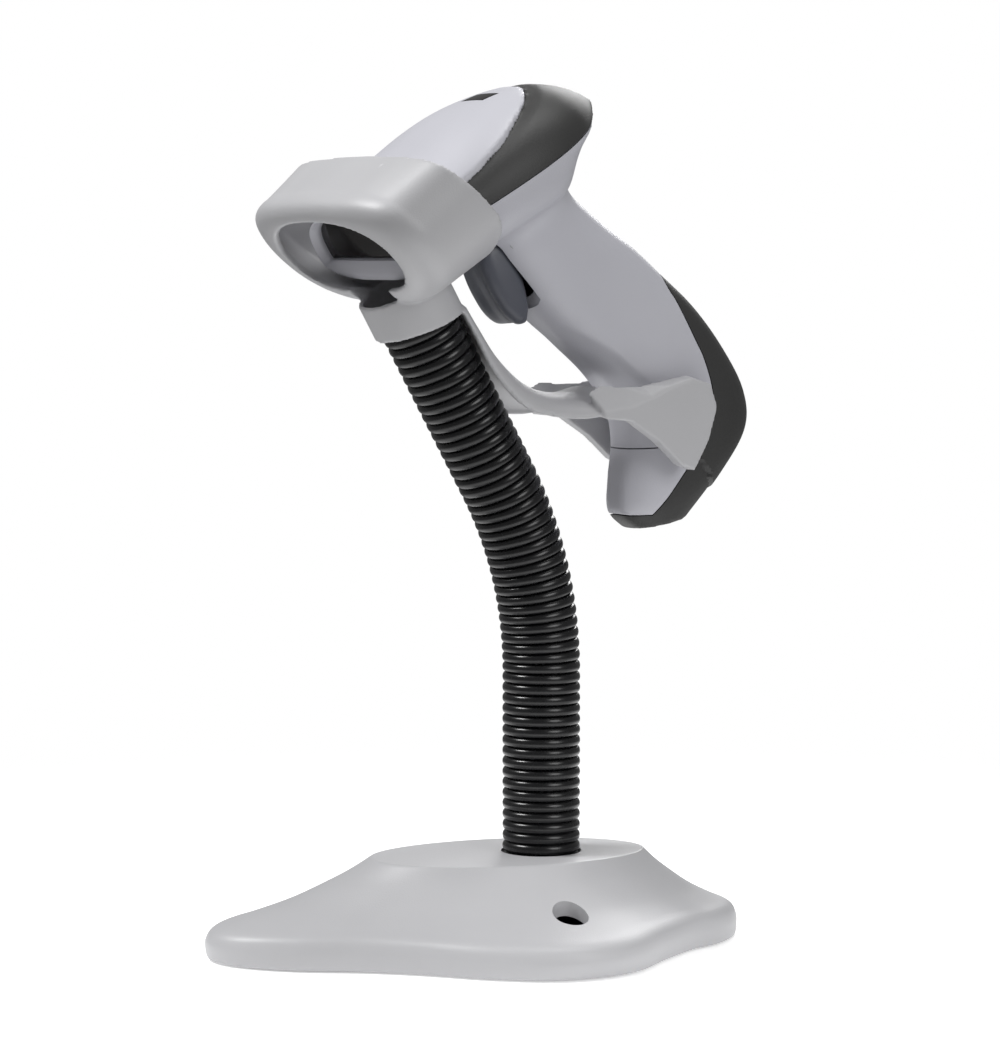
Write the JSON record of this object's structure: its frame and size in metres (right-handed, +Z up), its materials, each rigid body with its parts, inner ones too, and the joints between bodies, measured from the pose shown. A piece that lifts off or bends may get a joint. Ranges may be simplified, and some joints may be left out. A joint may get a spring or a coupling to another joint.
{
  "type": "handheld barcode scanner with gooseneck stand",
  "caption": "Pistol-grip barcode scanner resting in a hooded holder on a bendable gooseneck with a weighted, freeform base.",
  "frame": {"origin": "on the table plane under the foot of the gooseneck, on the anti-slip pad", "axes": "+Z up, the scanner looks towards -Y, +X is the scanner's left side"},
  "size_m": [0.1145, 0.1617, 0.2418],
  "materials": {
    "holder_plastic": "light warm grey moulded plastic, satin",
    "body_plastic": "light cool grey moulded plastic, satin",
    "trim_plastic": "charcoal moulded plastic, fine texture",
    "trigger_plastic": "slate blue-grey moulded plastic",
    "black_plastic": "black moulded plastic",
    "rubber": "black anti-slip sheet",
    "window_plastic": "dark filter window, polished",
    "lens_glass": "clear",
    "indicator_plastic": "smoked, polished",
    "board": "printed board, solder mask",
    "brass": "turned",
    "steel": "zinc plated",
    "sleeve_plastic": "black corrugated sleeve, glossy"
  },
  "bodies": {
    "stand": {"base_shell": "holder_plastic", "base_cover": "black_plastic", "base_pad": "rubber", "ballast_plate": "steel", "base_screw_1": "steel", "base_screw_2": "steel", "base_screw_3": "steel", "base_screw_4": "steel", "neck_nut": "brass", "neck_washer": "steel", "neck_sleeve_1": "sleeve_plastic", "neck_core_1": "steel"},
    "neck_2": {"neck_sleeve_2": "sleeve_plastic", "neck_core_2": "steel"},
    "neck_3": {"neck_sleeve_3": "sleeve_plastic", "neck_core_3": "steel"},
    "neck_4": {"neck_sleeve_4": "sleeve_plastic", "neck_core_4": "steel"},
    "neck_5": {"neck_sleeve_5": "sleeve_plastic", "neck_core_5": "steel"},
    "neck_6": {"neck_sleeve_6": "sleeve_plastic", "neck_core_6": "steel"},
    "neck_7": {"neck_sleeve_7": "sleeve_plastic", "neck_core_7": "steel"},
    "neck_8": {"neck_sleeve_8": "sleeve_plastic", "neck_core_8": "steel"},
    "holder": {"neck_sleeve_9": "sleeve_plastic", "neck_core_9": "steel", "neck_screw": "steel", "holder_hood": "holder_plastic", "holder_arm": "holder_plastic"},
    "scanner": {"main_housing": "body_plastic", "top_cover": "body_plastic", "butt_cover": "body_plastic", "nose_bezel": "body_plastic", "head_trim": "trim_plastic", "heel_guard": "trim_plastic", "engine_frame": "black_plastic", "engine_bracket": "black_plastic", "buzzer": "black_plastic", "trigger_switch": "black_plastic", "ribbon_cable": "black_plastic", "cable_socket": "black_plastic", "scan_window": "window_plastic", "engine_lens": "lens_glass", "light_pipe": "lens_glass", "indicator_lens": "indicator_plastic", "light_emitter_1": "indicator_plastic", "light_emitter_2": "indicator_plastic", "engine_board": "board", "main_board": "board", "switch_board": "board", "trigger_pin": "steel"},
    "trigger_lever": {"trigger": "trigger_plastic", "trigger_spring": "steel"}
  },
  "joints": [
    {"name": "neck_bend", "type": "hinge", "parent": "stand", "child": "neck_2", "pos_m": [0, 0, 0.03579], "axis": [1, 0, 0], "range_deg": [-12, 6]},
    {"name": "neck_side", "type": "hinge", "parent": "neck_2", "child": "neck_3", "pos_m": [0, 0, 0.05536], "axis": [0, 1, 0], "range_deg": [-10, 10]},
    {"name": "neck_bend_2", "type": "hinge", "parent": "neck_3", "child": "neck_4", "pos_m": [0, 0, 0.07494], "axis": [1, 0, 0], "range_deg": [-12, 6]},
    {"name": "neck_side_2", "type": "hinge", "parent": "neck_4", "child": "neck_5", "pos_m": [0, -0.00139, 0.09444], "axis": [0, 0.9874, 0.1585], "range_deg": [-10, 10]},
    {"name": "neck_bend_3", "type": "hinge", "parent": "neck_5", "child": "neck_6", "pos_m": [0, -0.00619, 0.11339], "axis": [1, 0, 0], "range_deg": [-12, 6]},
    {"name": "neck_side_3", "type": "hinge", "parent": "neck_6", "child": "neck_7", "pos_m": [0, -0.01427, 0.13119], "axis": [0, 0.8702, 0.4926], "range_deg": [-10, 10]},
    {"name": "neck_bend_4", "type": "hinge", "parent": "neck_7", "child": "neck_8", "pos_m": [0, -0.02406, 0.14814], "axis": [1, 0, 0], "range_deg": [-12, 6]},
    {"name": "neck_side_4", "type": "hinge", "parent": "neck_8", "child": "holder", "pos_m": [0, -0.03384, 0.16509], "axis": [0, 0.866, 0.5], "range_deg": [-10, 10]},
    {"name": "scanner_withdraw", "type": "slide", "parent": "holder", "child": "scanner", "axis": [0, 0.866, 0.5], "range_m": [0, 0.065]},
    {"name": "trigger_pull", "type": "hinge", "parent": "scanner", "child": "trigger_lever", "pos_m": [0, -0.01621, 0.19755], "axis": [1, 0, 0], "range_deg": [0, 7], "stiffness_Nm_per_rad": 0.12, "springref_deg": -5.73}
  ],
  "couplings": [
    {"joint": "neck_bend_2", "follows": "neck_bend", "ratio": 1},
    {"joint": "neck_side_2", "follows": "neck_side", "ratio": 1},
    {"joint": "neck_bend_3", "follows": "neck_bend", "ratio": 1},
    {"joint": "neck_side_3", "follows": "neck_side", "ratio": 1},
    {"joint": "neck_bend_4", "follows": "neck_bend", "ratio": 1},
    {"joint": "neck_side_4", "follows": "neck_side", "ratio": 1}
  ]
}
